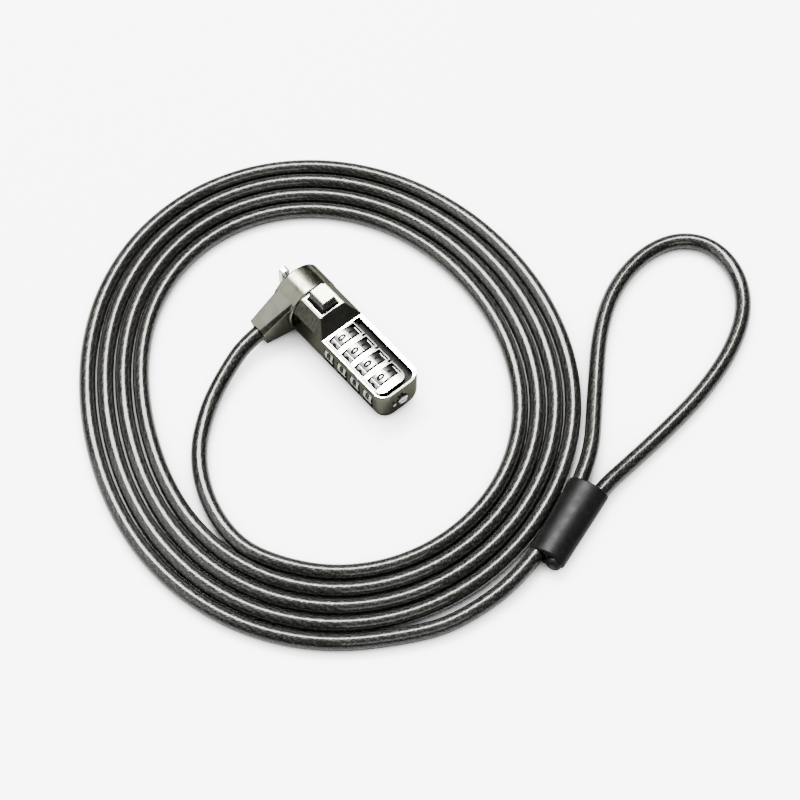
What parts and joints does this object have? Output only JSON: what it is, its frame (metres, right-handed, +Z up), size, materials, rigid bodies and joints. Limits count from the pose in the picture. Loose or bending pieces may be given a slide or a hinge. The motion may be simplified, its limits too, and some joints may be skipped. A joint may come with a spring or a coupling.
{
  "type": "laptop cable lock",
  "caption": "Combination laptop lock: number dials, push button and T-bar head in a swivel collar, on a coiled coated steel cable ending in a ferruled loop.",
  "frame": {"origin": "on the floor plane, under the middle of the lock head and its cable boss (the cable, its ferrule and loop left out)", "axes": "+X along the lock from the T-bar nose to the tail with the code screw; +Z up out of the dials and the button; the cable leaves the collar towards -Y"},
  "size_m": [0.1538, 0.1796, 0.0192],
  "materials": {
    "collar_nickel": "satin black nickel plate, warm grey",
    "body_nickel": "satin black nickel plate with bright machined rims",
    "silver": "bright satin silver",
    "dial_silver": "satin silver with black filled numerals",
    "brass": "turned",
    "steel": "bright turned steel",
    "button_black": "gloss black",
    "cable_sheath": "clear smoked sheath over twisted steel strands, glossy",
    "ferrule_rubber": "soft satin black"
  },
  "bodies": {
    "collar_and_cable": {"swivel_collar": "collar_nickel", "cable_anchor": "steel", "anchor_pin": "steel", "cable_lead": "cable_sheath", "cable_coil": "cable_sheath", "cable_tail": "cable_sheath", "cable_loop": "cable_sheath", "loop_ferrule": "ferrule_rubber", "ferrule_crimp": "steel", "loop_end_plug": "ferrule_rubber"},
    "lock_body": {"body_shell": "body_nickel", "tail_cover": "body_nickel", "tail_pin": "steel", "nose_disc": "collar_nickel", "t_bar": "steel", "spindle": "steel", "spindle_nut": "steel", "number_plate": "silver", "button_bezel": "silver", "dial_shaft": "steel", "detent_strip": "steel", "return_spring": "steel"},
    "button": {"release_button": "button_black", "button_cap": "silver"},
    "guard": {"guard_carriage": "steel", "guard_pin_1": "steel", "guard_pin_2": "steel", "locking_bar": "steel"},
    "code_screw": {"code_screw": "steel"},
    "dial_1": {"dial_ring_1": "dial_silver", "code_sleeve_1": "brass"},
    "dial_2": {"dial_ring_2": "dial_silver", "code_sleeve_2": "brass"},
    "dial_3": {"dial_ring_3": "dial_silver", "code_sleeve_3": "brass"},
    "dial_4": {"dial_ring_4": "dial_silver", "code_sleeve_4": "brass"}
  },
  "joints": [
    {"name": "collar_swivel", "type": "hinge", "parent": "collar_and_cable", "child": "lock_body", "pos_m": [-0.01625, 0.00398, 0.00795], "axis": [1, 0, 0], "continuous": true},
    {"name": "dial_1_turn", "type": "hinge", "parent": "lock_body", "child": "dial_1", "pos_m": [0.00265, 0.00278, 0.00675], "axis": [1, 0, 0], "continuous": true},
    {"name": "dial_2_turn", "type": "hinge", "parent": "lock_body", "child": "dial_2", "pos_m": [0.00792, 0.00278, 0.00675], "axis": [1, 0, 0], "continuous": true},
    {"name": "dial_3_turn", "type": "hinge", "parent": "lock_body", "child": "dial_3", "pos_m": [0.01319, 0.00278, 0.00675], "axis": [1, 0, 0], "continuous": true},
    {"name": "dial_4_turn", "type": "hinge", "parent": "lock_body", "child": "dial_4", "pos_m": [0.01846, 0.00278, 0.00675], "axis": [1, 0, 0], "continuous": true},
    {"name": "button_press", "type": "slide", "parent": "lock_body", "child": "button", "axis": [0, 0, -1], "range_m": [0, 0.002], "stiffness_N_per_m": 300, "springref_m": -0.001},
    {"name": "guard_slide", "type": "slide", "parent": "lock_body", "child": "guard", "axis": [1, 0, 0], "range_m": [0, 0.002], "deforming": ["return_spring"]},
    {"name": "code_screw_turn", "type": "hinge", "parent": "lock_body", "child": "code_screw", "pos_m": [0.02375, 0.00398, 0.00695], "axis": [1, 0, 0], "range_deg": [0, 90]}
  ],
  "couplings": [
    {"joint": "guard_slide", "follows": "button_press", "ratio": 1}
  ]
}
